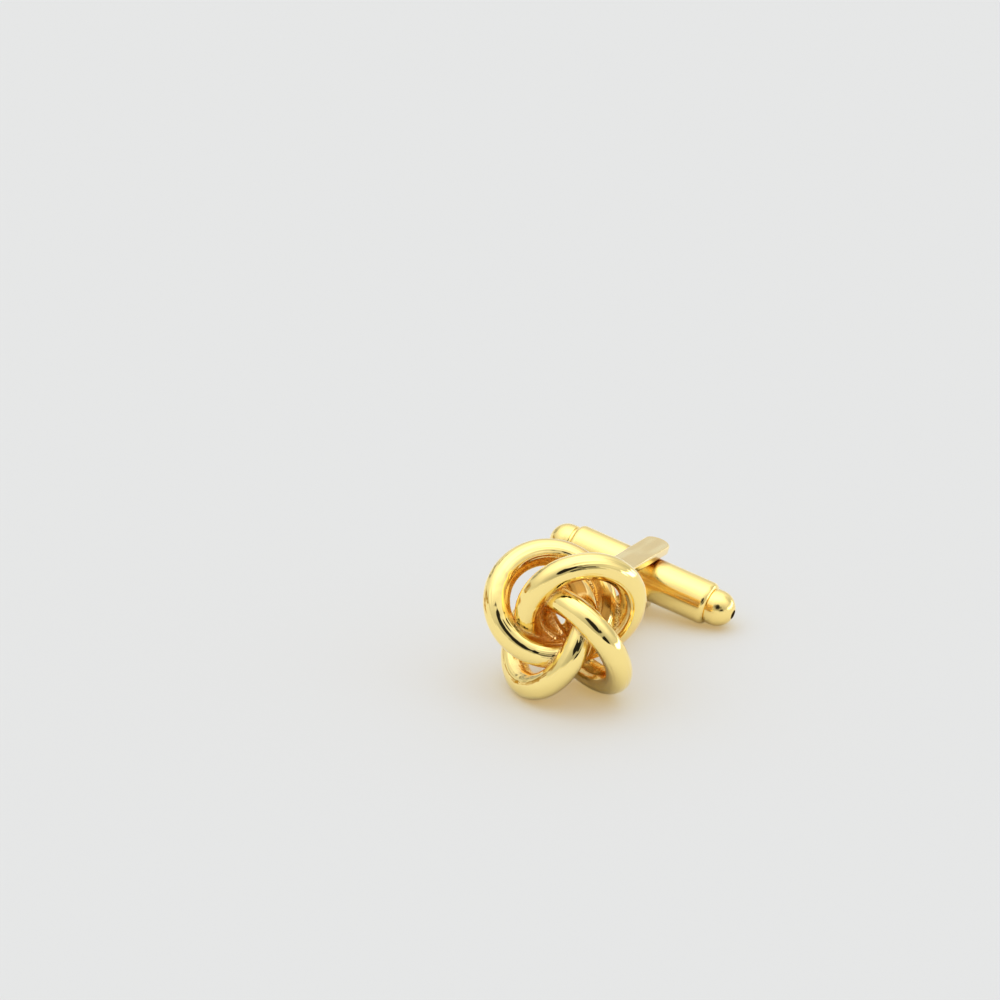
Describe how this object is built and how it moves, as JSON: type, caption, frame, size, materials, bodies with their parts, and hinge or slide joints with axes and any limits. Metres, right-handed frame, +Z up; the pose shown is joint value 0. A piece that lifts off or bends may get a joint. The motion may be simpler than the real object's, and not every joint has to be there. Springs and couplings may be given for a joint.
{
  "type": "knot cufflink",
  "caption": "Gold-coloured cufflink: a knot of linked wire rings on a forked flat post, with a round swinging toggle that turns on a pin between the post's arms.",
  "frame": {"origin": "on the table, under the middle of the cufflink as it lies at rest on two rings and the end of the fork's lower arm", "axes": "+Z up; the toggle's length is nearest to X; the knot is at -Y and faces -Y, tipped up, and the toggle is at +Y"},
  "size_m": [0.0196, 0.0282, 0.0153],
  "materials": {
    "knot_gold": "gold-plated, cast and polished",
    "strap_gold": "gold-plated, rolled flat and polished",
    "pin_gold": "gold-plated, plain round wire",
    "toggle_gold": "gold-plated, turned and polished"
  },
  "bodies": {
    "knot_body": {"knot": "knot_gold", "fork": "strap_gold", "pivot_pin": "pin_gold"},
    "toggle_body": {"toggle": "toggle_gold"}
  },
  "joints": [
    {"name": "toggle_swing", "type": "hinge", "parent": "knot_body", "child": "toggle_body", "pos_m": [0, 0.01098, 0.00367], "axis": [0.209, 0.1827, 0.9607], "range_deg": [-90, 90]}
  ]
}
